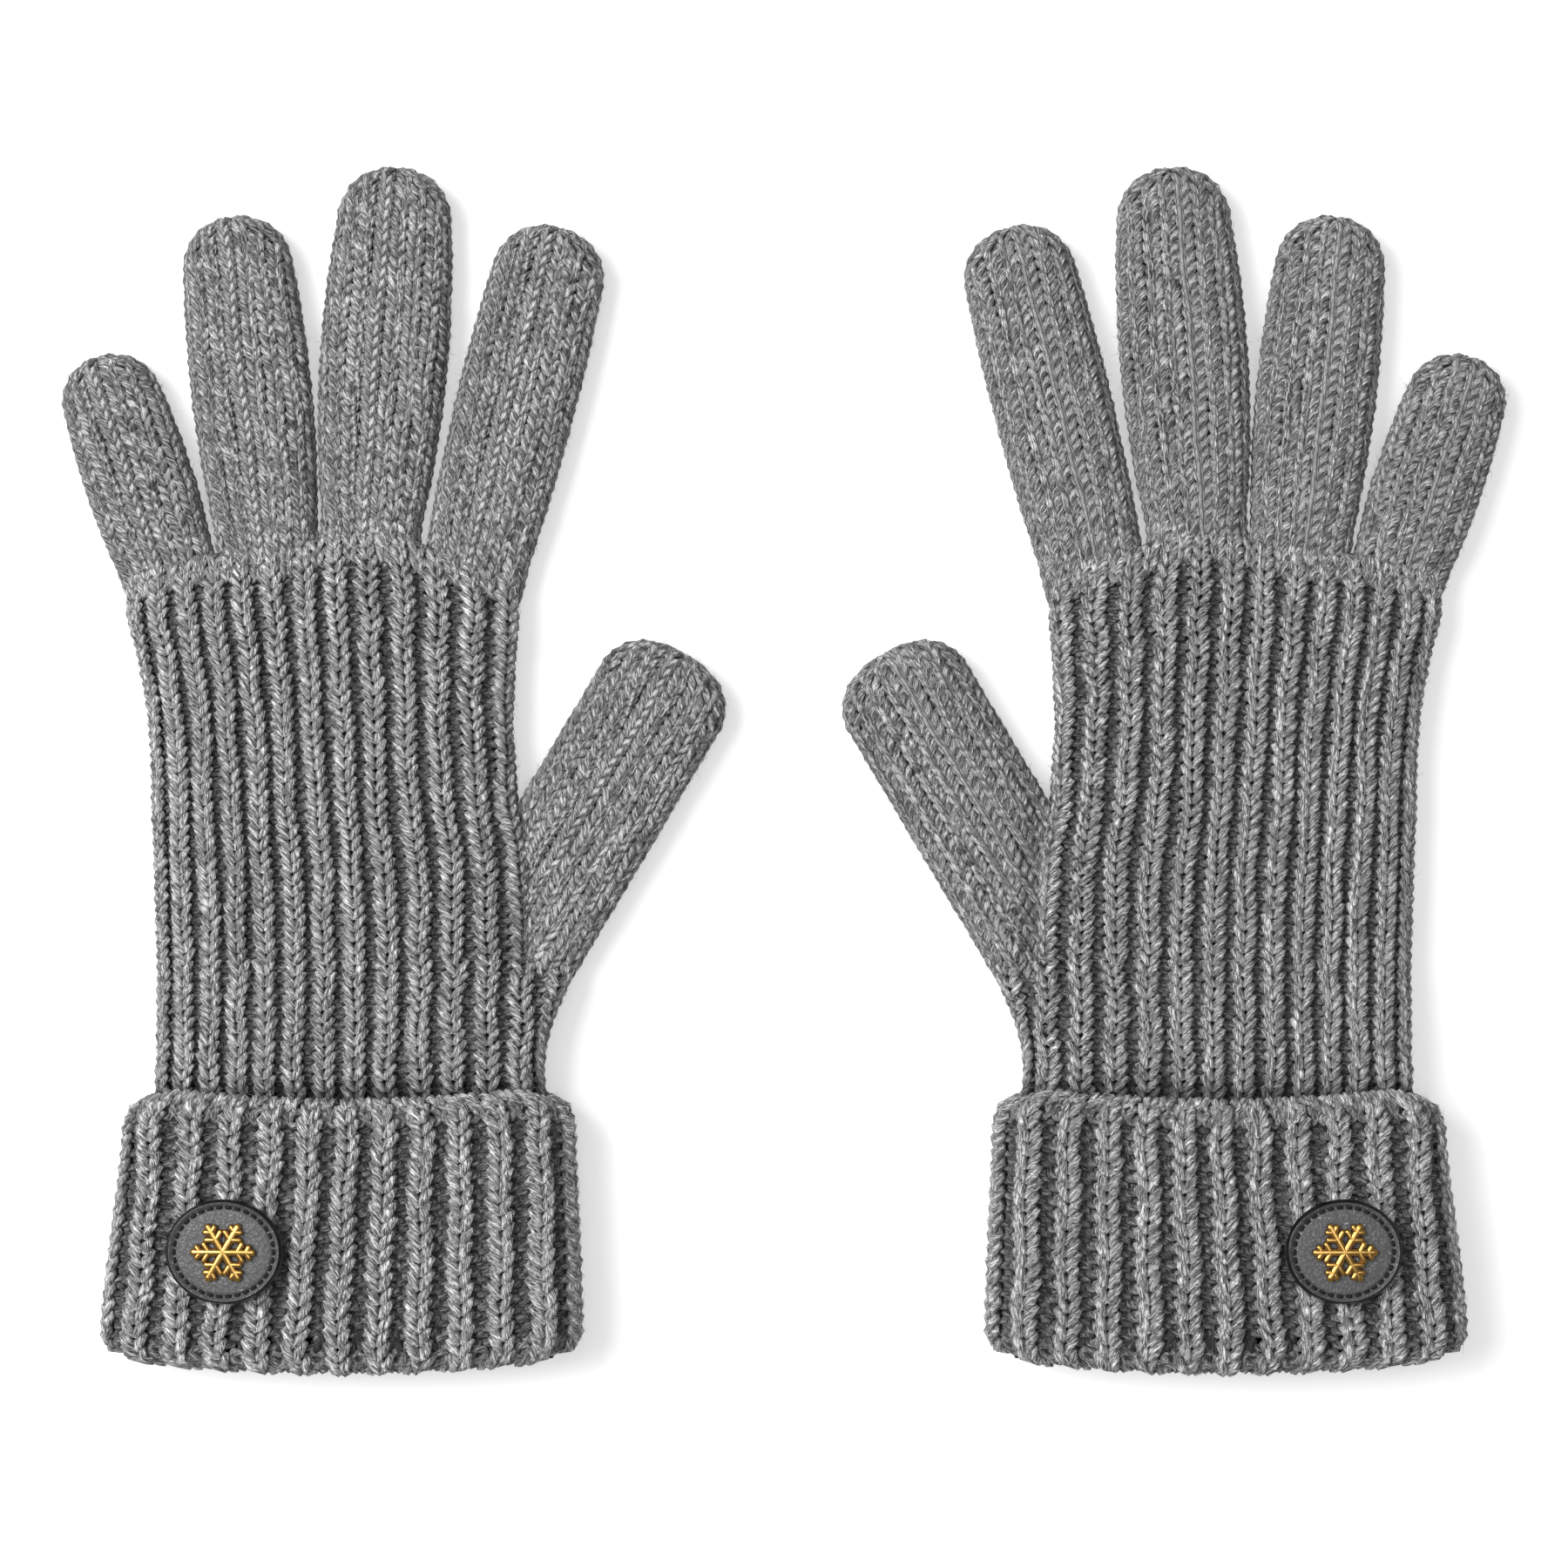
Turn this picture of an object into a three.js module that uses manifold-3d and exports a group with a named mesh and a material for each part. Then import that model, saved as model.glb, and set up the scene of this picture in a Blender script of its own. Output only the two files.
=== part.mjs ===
// A pair of knitted wool gloves lying flat, fingers towards +Y, backs of the hands up.
// Each glove is a ribbed hand tube, four plain-knit fingers and a thumb, a wrist tube with a deep
// turned-up cuff, and on the cuff an oval leather patch that carries a small brass snowflake.
// Millimetres, +Z up. The origin is under the middle of the pair, on the surface it lies on.
// One glove is written in outward coordinates (x grows from the pair's middle towards the little
// finger, y grows from the cuff's fold towards the fingertips) and the other is its mirror image.
import * as THREE from "three";
import { mergeVertices } from "three/addons/utils/BufferGeometryUtils.js";
import Module from "manifold-3d";

const wasm = await Module();
wasm.setup();

// ---- driving dimensions ----
const GLOVE_LENGTH = 250.8; // fold of the cuff to the tip of the middle finger
const WALL = 2.8; // one layer of knit
const GAP = 0.5; // running gap between neighbouring pieces
const HAND_HALF = 7; // half the thickness of the hand lying flat
const FINGER_HALF = 6; // half the thickness of a finger
const THUMB_HALF = 6.4;
const CUFF_HALF = 10.6; // half the thickness of the turned-up cuff
const HAND_FULLNESS = 3.2; // exponent of the rounded-box sections: 2 is an ellipse
const FINGER_FULLNESS = 2.8;
const CUFF_FULLNESS = 4;

const CUFF_TOP = 57.5; // top edge of the turned-up layer
const WRIST_FOLD_Y = 62.5; // the line on which the hand bends against the cuff
const FOLD_REACH = 5; // how far the fold at the cuff's bottom reaches up inside

// Fingers: the base point on the knuckle line, the centre of the round tip, and three half widths.
const FINGERS = {
  index: { base: [63.2, 171.7], tip: [49.4, 226.7], half: [10.9, 12.4, 11.8] },
  middle: { base: [85.6, 177.8], tip: [81.0, 238.7], half: [10.2, 12.5, 12.0] },
  ring: { base: [107.6, 175.9], tip: [113.3, 229.0], half: [10.0, 11.9, 11.3] },
  little: { base: [128.7, 169.6], tip: [139.3, 201.3], half: [9.5, 11.2, 10.9] },
};

// Thumb: its centre line runs from well inside the hand to the centre of the tip.
const THUMB = { tip: [25.8, 140.2], lean: 30.8, half: 14.9, tipLength: 11.2 };
const SEAM = { x: 55.3, low: 84.9, high: 120.9, room: 1.8 }; // the thumb folds about this line, along +Y

// Silhouette of the hand tube: distance out at a few heights on each side.
const HAND_OUTER = [[50, 130.4], [80, 130.6], [110, 131.6], [140, 132.9], [155, 135.6], [170, 140.2]];
const HAND_INNER = [[50, 48.8], [66, 48.6], [72, 47.2], [78, 45.0], [SEAM.low - 0.5, 42.0]];
const HAND_INNER_ABOVE = [[SEAM.low, 54.4], [110, 55.2], [150, 55.0], [170, 52.4]];

// Silhouette of the cuff, from the fold up to its free edge.
const CUFF_OUTER = [[0, 141.2], [12, 140.8], [30, 138.6], [50, 136.4], [60, 135.8]];
const CUFF_INNER = [[0, 41.6], [12, 41.2], [30, 42.0], [50, 43.0], [60, 43.6]];

// Patch and emblem.
const PATCH = {
  x: 114.0, y: 27.2, halfWide: 12.0, halfHigh: 10.7, leather: 1.2, backing: 0.8, stackGap: 0.25,
};
const PATCH_TILT = 2.2; // degrees: the cuff's top falls away towards the side
const THREAD = { inset: 2.1, radius: 0.3, groove: 0.45 };
const PRONG = { apart: 3.0, radius: 0.55, hole: 0.95 };
const WASHER = { halfLong: 5.2, halfWide: 2.2, thick: 0.4 };
const EMBLEM = { radius: 6.7, thick: 1.2, arm: 1.25, branch: 0.95 };

const YARN = new THREE.MeshStandardMaterial({ color: 0x8b8b8b, roughness: 0.95, metalness: 0 });
const LEATHER = new THREE.MeshStandardMaterial({ color: 0x4b4c4f, roughness: 0.5, metalness: 0 });
const BACKING = new THREE.MeshStandardMaterial({ color: 0x2b2b2c, roughness: 0.8, metalness: 0 });
const SEWING_THREAD = new THREE.MeshStandardMaterial({ color: 0x6a6b6d, roughness: 0.8, metalness: 0 });
const BRASS = new THREE.MeshStandardMaterial({ color: 0xa8823a, roughness: 0.35, metalness: 1 });

// ---- solids ----
function solidOf(geometry) {
  const bare = geometry.index ? geometry.toNonIndexed() : geometry.clone();
  bare.deleteAttribute("normal");
  bare.deleteAttribute("uv");
  const merged = mergeVertices(bare, 1e-4);
  return new wasm.Manifold(
    new wasm.Mesh({
      numProp: 3,
      vertProperties: merged.attributes.position.array,
      triVerts: new Uint32Array(merged.index.array),
    }),
  );
}

function geometryOf(solid) {
  const mesh = solid.getMesh();
  const geometry = new THREE.BufferGeometry();
  geometry.setAttribute("position", new THREE.BufferAttribute(mesh.vertProperties, 3));
  geometry.setIndex(new THREE.BufferAttribute(mesh.triVerts, 1));
  return geometry;
}

function placed(geometry, x, y, z) {
  return geometry.translate(x, y, z);
}

// A smooth function through [position, value] pairs.
function through(pairs) {
  const curve = new THREE.CubicInterpolant(
    pairs.map((p) => p[0]),
    pairs.map((p) => p[1]),
    1,
  );
  return (at) => curve.evaluate(at)[0];
}

// A point on a rounded box section: angle 0 is +up and 90 degrees is +across.
function onSection(angle, halfWide, halfHigh, fullness) {
  const power = 2 / fullness;
  const s = Math.sin(angle);
  const c = Math.cos(angle);
  return {
    across: halfWide * Math.sign(s) * Math.abs(s) ** power,
    up: halfHigh * Math.sign(c) * Math.abs(c) ** power,
  };
}

// A closed skin swept through rings. A lathe gives the topology: each profile point is a ring
// number, and shape(ring, angle) says where that ring's point at that angle goes. A ring marked
// point: true closes on one point. The first ring is repeated at the end to close the wall.
function skin(rings, sides, shape, closed = true) {
  const numbers = rings.map((_, i) => i);
  if (closed) numbers.push(0);
  const profile = numbers.map((ring, i) => new THREE.Vector2(rings[ring].point ? 0 : 1, i));
  const geometry = new THREE.LatheGeometry(profile, sides);
  const position = geometry.getAttribute("position");
  for (let i = 0; i < position.count; i++) {
    const ring = rings[numbers[Math.round(position.getY(i))]];
    const share = Math.atan2(position.getX(i), position.getZ(i)) / (2 * Math.PI);
    const angle = (Math.round(share * sides) / sides) * 2 * Math.PI;
    position.setXYZ(i, ...shape(ring, angle));
  }
  return geometry;
}

// ---- fingers ----
function halfWidthAlong([base, belly, tip], share) {
  const a = 2 * (base + tip) - 4 * belly;
  return a * share * share + (tip - base - a) * share + base;
}

// A hollow finger from its hinge line to its closed round tip. The open base ends in a half
// cylinder about the hinge line, so that the finger can fold with no gap and no overlap.
function fingerSkin(finger) {
  const base = new THREE.Vector2(...finger.base);
  const along = new THREE.Vector2(...finger.tip).sub(base);
  const length = along.length();
  along.normalize();
  const across = new THREE.Vector2(along.y, -along.x);
  const tipHalf = finger.half[2];

  function wallRings(inset) {
    const straight = [0, 0.3, 0.65, 1].map((share) => ({
      s: share * length,
      wide: halfWidthAlong(finger.half, share) - inset,
      high: FINGER_HALF - inset,
      domed: share === 0,
    }));
    const round = [30, 55, 75].map((degrees) => {
      const turn = THREE.MathUtils.degToRad(degrees);
      return {
        s: length + (tipHalf - inset) * Math.sin(turn),
        wide: (tipHalf - inset) * Math.cos(turn),
        high: (FINGER_HALF - inset) * Math.cos(turn) ** 0.6,
      };
    });
    return [...straight, ...round, { s: length + tipHalf - inset, point: true }];
  }

  const rings = [...wallRings(0), ...wallRings(WALL).reverse()];
  return skin(rings, 24, (ring, angle) => {
    const on = ring.point ? { across: 0, up: 0 } : onSection(angle, ring.wide, ring.high, FINGER_FULLNESS);
    const dome = ring.domed ? -Math.sqrt(Math.max(FINGER_HALF ** 2 - on.up ** 2, 0)) : 0;
    const s = ring.s + dome;
    return [
      base.x + along.x * s + across.x * on.across,
      base.y + along.y * s + across.y * on.across,
      FINGER_HALF + on.up,
    ];
  });
}

// ---- hand ----
const handOuter = through(HAND_OUTER);
const belowThumb = through(HAND_INNER);
const aboveThumb = through(HAND_INNER_ABOVE);

// The hand's upper edge stays a hinge radius and a gap below every finger's hinge line.
function handTop(x) {
  const below = Object.values(FINGERS).map(({ base, tip }) => {
    const slope = -(tip[0] - base[0]) / (tip[1] - base[1]);
    const drop = (FINGER_HALF + GAP) * Math.hypot(1, slope);
    return base[1] + slope * (x - base[0]) - drop;
  });
  return Math.min(...below);
}

// Near the wrist the hand rises to the middle of the thicker cuff.
function handMiddle(y) {
  return THREE.MathUtils.lerp(CUFF_HALF, HAND_HALF, THREE.MathUtils.smoothstep(y, WRIST_FOLD_Y + 2, 90));
}

// Under the thumb the hand widens into a shoulder that the thumb stands on. Its inner face sits a
// wall lower, so that the hand opens into the thumb there.
function handSkin() {
  const highest = Math.max(...Object.values(FINGERS).map((finger) => finger.base[1])) - FINGER_HALF;
  const wallRings = (inset) => [
    ...[WRIST_FOLD_Y, 68, 74, 79].map((y) => ({ y, inset, inner: belowThumb(y) })),
    { y: SEAM.low - 0.5 - inset, inset, inner: belowThumb(SEAM.low - 0.5) },
    { y: SEAM.low - inset, inset, inner: aboveThumb(SEAM.low) },
    ...[94, 108, 122, 136, 150, 162, highest].map((y) => ({ y, inset, inner: aboveThumb(y) })),
  ];
  const rings = [...wallRings(0), ...wallRings(WALL).reverse()];
  return skin(rings, 36, (ring, angle) => {
    const outer = handOuter(ring.y);
    const on = onSection(angle, (outer - ring.inner) / 2 - ring.inset, HAND_HALF - ring.inset, HAND_FULLNESS);
    const x = (outer + ring.inner) / 2 + on.across;
    const dome = ring.y === WRIST_FOLD_Y ? Math.sqrt(Math.max(HAND_HALF ** 2 - on.up ** 2, 0)) : 0;
    const trim = (handTop(x) - highest) * THREE.MathUtils.smoothstep(ring.y, 100, highest);
    return [x, ring.y - dome + trim, handMiddle(ring.y) + on.up];
  });
}

// A round bar along +Y about the thumb's seam, used to round and to open what meets there.
function seamBar(radius, low, high) {
  const bar = new THREE.CylinderGeometry(radius, radius, high - low, 32);
  return solidOf(placed(bar, SEAM.x, (low + high) / 2, THUMB_HALF));
}

// ---- thumb ----
const lean = THREE.MathUtils.degToRad(THUMB.lean);
const thumbAlong = new THREE.Vector2(-Math.sin(lean), Math.cos(lean));
const thumbAcross = new THREE.Vector2(thumbAlong.y, -thumbAlong.x);

function thumbSkin(inset, reach) {
  const straight = [-reach, -30, 0].map((s) => ({ s, wide: THUMB.half - inset, high: THUMB_HALF - inset }));
  const round = [30, 55, 75].map((degrees) => {
    const turn = THREE.MathUtils.degToRad(degrees);
    return {
      s: (THUMB.tipLength - inset) * Math.sin(turn),
      wide: (THUMB.half - inset) * Math.cos(turn) ** 0.8,
      high: (THUMB_HALF - inset) * Math.cos(turn) ** 0.6,
    };
  });
  const rings = [
    { s: -reach, point: true },
    ...straight,
    ...round,
    { s: THUMB.tipLength - inset, point: true },
  ];
  return skin(
    rings,
    24,
    (ring, angle) => {
      const on = ring.point ? { across: 0, up: 0 } : onSection(angle, ring.wide, ring.high, FINGER_FULLNESS);
      return [
        THUMB.tip[0] + thumbAlong.x * ring.s + thumbAcross.x * on.across,
        THUMB.tip[1] + thumbAlong.y * ring.s + thumbAcross.y * on.across,
        THUMB_HALF + on.up,
      ];
    },
    false,
  );
}

function makeThumb() {
  const outer = solidOf(thumbSkin(0, 75));
  const hollow = solidOf(thumbSkin(WALL, 80));
  const top = 180;
  const bottom = SEAM.low + GAP;
  const beyondSeam = new THREE.BoxGeometry(80, top - bottom, 60);
  const kept = solidOf(placed(beyondSeam, SEAM.x - 40, (top + bottom) / 2, THUMB_HALF));
  return outer.subtract(hollow).intersect(kept.add(seamBar(THUMB_HALF, bottom, SEAM.high - GAP)));
}

// The hand is open where the thumb joins, and clear of the thumb at every angle of its fold.
function makeHand() {
  const notch = seamBar(THUMB_HALF + GAP, SEAM.low - WALL, SEAM.high + SEAM.room);
  return solidOf(handSkin()).subtract(notch);
}

// ---- wrist and cuff ----
const cuffOuter = through(CUFF_OUTER);
const cuffInner = through(CUFF_INNER);

// The inner layer: a tube from the fold up to the hand. Its upper end is hollowed to clear the
// hand's rounded lower end.
function wristSkin() {
  const heights = [FOLD_REACH + GAP, 20, 36, WRIST_FOLD_Y];
  const layer = WALL + GAP;
  const wallRings = (inset) => heights.map((y) => ({ y, inset }));
  const rings = [...wallRings(layer), ...wallRings(layer + WALL).reverse()];
  return skin(rings, 36, (ring, angle) => {
    const outer = cuffOuter(ring.y);
    const inner = cuffInner(ring.y);
    const on = onSection(angle, (outer - inner) / 2 - ring.inset, CUFF_HALF - ring.inset, CUFF_FULLNESS);
    const hollow = Math.sqrt(Math.max((HAND_HALF + 2 * GAP) ** 2 - on.up ** 2, 0));
    const y = ring.y === WRIST_FOLD_Y ? WRIST_FOLD_Y - Math.max(hollow, 3) : ring.y;
    return [(outer + inner) / 2 + on.across, y, CUFF_HALF + on.up];
  });
}

// The outer layer: turned up over the wrist, with the round fold at its bottom.
function cuffSkin() {
  const foldHalf = (2 * WALL + GAP) / 2;
  const up = [2, 14, 30, 45, CUFF_TOP];
  const outerWall = up.map((y) => ({ y, inset: 0 }));
  const innerWall = [CUFF_TOP, 45, 30, 14, FOLD_REACH].map((y) => ({ y, inset: WALL }));
  const turnedIn = [
    { y: FOLD_REACH, inset: 2 * WALL + GAP },
    { y: 1.2, inset: 2 * WALL - 0.6 },
    { y: 0, inset: foldHalf },
    { y: 0.3, inset: 1.2 },
  ];
  const rings = [...outerWall, ...innerWall, ...turnedIn];
  return skin(rings, 36, (ring, angle) => {
    const outer = cuffOuter(ring.y);
    const inner = cuffInner(ring.y);
    const on = onSection(angle, (outer - inner) / 2 - ring.inset, CUFF_HALF - ring.inset, CUFF_FULLNESS);
    return [(outer + inner) / 2 + on.across, ring.y, CUFF_HALF + on.up];
  });
}

// ---- patch and emblem, built flat about their own centre ----
function ovalPlate(halfWide, halfHigh, low, high, sides = 40) {
  const plate = new THREE.CylinderGeometry(1, 1, high - low, sides);
  return plate.rotateX(Math.PI / 2).scale(halfWide, halfHigh, 1).translate(0, 0, (low + high) / 2);
}

function prongHoles(radius) {
  return [-1, 1].map((side) => {
    const bar = new THREE.CylinderGeometry(radius, radius, 12, 12).rotateX(Math.PI / 2);
    return solidOf(placed(bar, side * PRONG.apart, 0, 0));
  });
}

function drilled(solid, radius) {
  return prongHoles(radius).reduce((left, hole) => left.subtract(hole), solid);
}

const WASHER_TOP = WASHER.thick;
const BACKING_LOW = WASHER_TOP + PATCH.stackGap;
const LEATHER_LOW = BACKING_LOW + PATCH.backing + PATCH.stackGap;
const LEATHER_TOP = LEATHER_LOW + PATCH.leather;
const EMBLEM_LOW = LEATHER_TOP + PATCH.stackGap;

function threadRing(radius, sides) {
  const wide = PATCH.halfWide - THREAD.inset;
  const high = PATCH.halfHigh - THREAD.inset;
  const around = 40;
  const profile = Array.from({ length: sides + 1 }, (_, i) => {
    const turn = (-i / sides) * 2 * Math.PI;
    return new THREE.Vector2(1 + 0.1 * Math.cos(turn), 0.1 * Math.sin(turn));
  });
  const ring = new THREE.LatheGeometry(profile, around);
  const position = ring.getAttribute("position");
  for (let i = 0; i < position.count; i++) {
    const angle = Math.atan2(position.getX(i), position.getZ(i));
    const off = (Math.hypot(position.getX(i), position.getZ(i)) - 1) * 10 * radius;
    const lift = position.getY(i) * 10 * radius;
    position.setXYZ(i, (wide + off) * Math.sin(angle), (high + off) * Math.cos(angle), LEATHER_TOP + lift);
  }
  return ring;
}

function makeLeather() {
  const plate = solidOf(ovalPlate(PATCH.halfWide, PATCH.halfHigh, LEATHER_LOW, LEATHER_TOP));
  return drilled(plate.subtract(solidOf(threadRing(THREAD.radius + THREAD.groove, 8))), PRONG.hole);
}

function makeBacking() {
  return drilled(
    solidOf(ovalPlate(PATCH.halfWide - 0.4, PATCH.halfHigh - 0.4, BACKING_LOW, BACKING_LOW + PATCH.backing)),
    PRONG.hole,
  );
}

function makeWasher() {
  return drilled(solidOf(ovalPlate(WASHER.halfLong, WASHER.halfWide, 0, WASHER_TOP, 24)), PRONG.hole);
}

// Six arms, each with two pairs of side branches, on a small boss, with two prongs behind.
function makeEmblem() {
  const bar = (length, wide) => new THREE.BoxGeometry(length, wide, EMBLEM.thick).translate(length / 2, 0, 0);
  let flake = solidOf(new THREE.CylinderGeometry(1.9, 1.9, EMBLEM.thick, 12).rotateX(Math.PI / 2));
  for (let arm = 0; arm < 6; arm++) {
    const turn = (arm * Math.PI) / 3;
    flake = flake.add(solidOf(bar(EMBLEM.radius, EMBLEM.arm).rotateZ(turn)));
    for (const [root, length] of [[2.9, 2.0], [4.5, 1.6]]) {
      for (const side of [-1, 1]) {
        const branch = bar(length, EMBLEM.branch).rotateZ((side * Math.PI) / 3);
        flake = flake.add(solidOf(branch.translate(root, 0, 0).rotateZ(turn)));
      }
    }
  }
  flake = flake.translate([0, 0, EMBLEM_LOW + EMBLEM.thick / 2]);
  const reach = EMBLEM_LOW + EMBLEM.thick / 2;
  for (const side of [-1, 1]) {
    const prong = new THREE.CylinderGeometry(PRONG.radius, PRONG.radius, reach, 10).rotateX(Math.PI / 2);
    flake = flake.add(solidOf(placed(prong, side * PRONG.apart, 0, reach / 2)));
  }
  return flake;
}

// ---- one glove ----
function glove(side) {
  const group = new THREE.Group();
  const add = (parent, name, geometry, material) => {
    const mesh = new THREE.Mesh(geometry, material);
    mesh.name = `${side}_${name}`;
    parent.add(mesh);
  };
  add(group, "hand", geometryOf(makeHand()), YARN);
  for (const [name, finger] of Object.entries(FINGERS)) {
    add(group, `${name}_finger`, fingerSkin(finger), YARN);
  }
  add(group, "thumb", geometryOf(makeThumb()), YARN);
  add(group, "wrist", wristSkin(), YARN);
  add(group, "cuff", cuffSkin(), YARN);

  const patch = new THREE.Group();
  patch.position.set(PATCH.x, PATCH.y, 2 * CUFF_HALF + 0.25);
  patch.rotation.y = THREE.MathUtils.degToRad(PATCH_TILT);
  add(patch, "emblem_washer", geometryOf(makeWasher()), BRASS);
  add(patch, "patch_backing", geometryOf(makeBacking()), BACKING);
  add(patch, "patch_leather", geometryOf(makeLeather()), LEATHER);
  add(patch, "patch_thread", threadRing(THREAD.radius, 8), SEWING_THREAD);
  add(patch, "emblem", geometryOf(makeEmblem()), BRASS);
  group.add(patch);
  return group;
}

const pair = new THREE.Group();
const right = glove("right");
const left = glove("left");
left.scale.x = -1;
pair.add(right, left);
right.position.y = -GLOVE_LENGTH / 2;
left.position.y = -GLOVE_LENGTH / 2;

export default pair;
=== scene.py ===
"""A pair of knitted wool gloves lying flat, knitted loop by loop.

Each knitted piece has two layers of shape. A skin is the smooth tube that the piece fills. A course
is one row of knitting: a single yarn that runs once round the skin, and its centre line is
    round the skin   (t / turn + sway * sin 2t) stitch widths
    along the skin   -rise * cos t
    off the skin     lift - depth * cos 2t for a knit stitch, and + for a purl stitch
where t goes once round for each stitch. A knit stitch shows its two legs as a V, and a purl stitch
shows the tops of its loops. All of it is worked out in millimetres for the right-hand glove, with x
growing from the middle of the pair towards the little finger and y from the cuff's fold towards the
fingertips. The left-hand glove is its mirror image.
"""

import math

import bmesh
import bpy
import numpy as np
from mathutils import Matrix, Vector


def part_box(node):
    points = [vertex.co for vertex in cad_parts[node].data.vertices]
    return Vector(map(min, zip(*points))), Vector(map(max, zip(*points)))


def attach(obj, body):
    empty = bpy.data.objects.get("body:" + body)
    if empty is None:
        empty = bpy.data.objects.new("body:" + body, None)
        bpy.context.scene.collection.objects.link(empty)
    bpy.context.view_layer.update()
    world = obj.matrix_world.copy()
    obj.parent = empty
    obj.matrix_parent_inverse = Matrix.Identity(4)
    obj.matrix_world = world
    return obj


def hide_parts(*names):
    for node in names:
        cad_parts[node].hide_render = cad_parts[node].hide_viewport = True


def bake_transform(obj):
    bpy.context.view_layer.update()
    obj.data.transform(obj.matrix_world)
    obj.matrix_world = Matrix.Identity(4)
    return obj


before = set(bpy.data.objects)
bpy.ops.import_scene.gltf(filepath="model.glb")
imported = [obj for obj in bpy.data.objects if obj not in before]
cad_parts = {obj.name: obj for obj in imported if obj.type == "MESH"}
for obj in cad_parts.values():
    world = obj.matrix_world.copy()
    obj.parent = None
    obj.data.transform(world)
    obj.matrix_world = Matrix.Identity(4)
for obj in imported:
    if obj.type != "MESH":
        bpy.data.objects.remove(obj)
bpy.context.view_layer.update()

TURN = 2 * math.pi
MM = 0.001
GLOVE_LENGTH = 250.8  # its middle is the pair's y = 0
PAIR = (("left", -1), ("right", 1))
LEFT_YARN_START = 37.3  # the left glove's fibres start this far along the pattern, so the two differ


# ---- camera ----
GLOVE_MIDDLE = 0.011  # height of the gloves' middle, in metres


def add_camera():
    """Straight above the pair, with the fingers towards the top of the view."""
    data = bpy.data.cameras.new("camera")
    data.sensor_width = 36
    data.lens = 100
    data.clip_start = 0.01
    camera = bpy.data.objects.new("camera", data)
    camera.location = (0, -0.0029, 0.9 + GLOVE_MIDDLE)
    bpy.context.scene.collection.objects.link(camera)
    bpy.context.scene.camera = camera


add_camera()


# ---- lines and skins ----
def smooth_step(low, high, x):
    """0 before low, 1 after high, and 3t^2 - 2t^3 between."""
    t = np.clip((x - low) / (high - low), 0, 1)
    return t * t * (3 - 2 * t)


def eased(pairs):
    """A smooth line through (place, value) pairs.

    It is made of cubic pieces, whose slope at each pair comes from the pairs beside it.
    """
    place, value = np.array(pairs, float).T
    slope = np.gradient(value, place)

    def line(x):
        x = np.clip(x, place[0], place[-1])
        i = np.clip(np.searchsorted(place, x) - 1, 0, len(place) - 2)
        h = place[i + 1] - place[i]
        t = (x - place[i]) / h
        return (
            value[i] * (1 + 2 * t) * (1 - t) ** 2
            + slope[i] * h * t * (1 - t) ** 2
            + value[i + 1] * t * t * (3 - 2 * t)
            + slope[i + 1] * h * t * t * (t - 1)
        )

    return line


AROUND = 300
FLAT_STEPS = 8
CORNER = 15.0  # how far in from its edge a wide section starts to round off


def sections(half_wide, half_high, fullness):
    """Flattened outlines, one for each row, as (across, up) arrays with evenly spaced points.

    A quarter runs flat along the top, and then round the corner as
        across = flat + corner * sin(a)^(2/fullness), up = half_high * cos(a)^(2/fullness).
    The outline starts at the middle of the top and goes towards +across.
    """
    power = 2 / np.broadcast_to(fullness, np.shape(half_wide))[:, None]
    corner = np.minimum(half_wide, CORNER)[:, None]
    flat = half_wide[:, None] - corner
    a = np.linspace(0, math.pi / 2, AROUND + 1)
    x = np.concatenate([flat * np.linspace(0, 1, FLAT_STEPS + 1)[:-1], flat + corner * np.sin(a) ** power], 1)
    fall = np.maximum(np.cos(a), 0) ** power
    z = np.concatenate([np.repeat(half_high[:, None], FLAT_STEPS, 1), half_high[:, None] * fall], 1)
    across = np.concatenate([x, x[:, -2::-1], -x[:, 1:], -x[:, -2::-1]], 1)
    up = np.concatenate([z, -z[:, -2::-1], -z[:, 1:], z[:, -2::-1]], 1)
    run = np.zeros_like(across)
    run[:, 1:] = np.cumsum(np.hypot(np.diff(across, axis=1), np.diff(up, axis=1)), axis=1)
    even = np.arange(AROUND) / AROUND
    return (
        np.array([np.interp(even * r[-1], r, line) for r, line in zip(run, across)]),
        np.array([np.interp(even * r[-1], r, line) for r, line in zip(run, up)]),
    )


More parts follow.
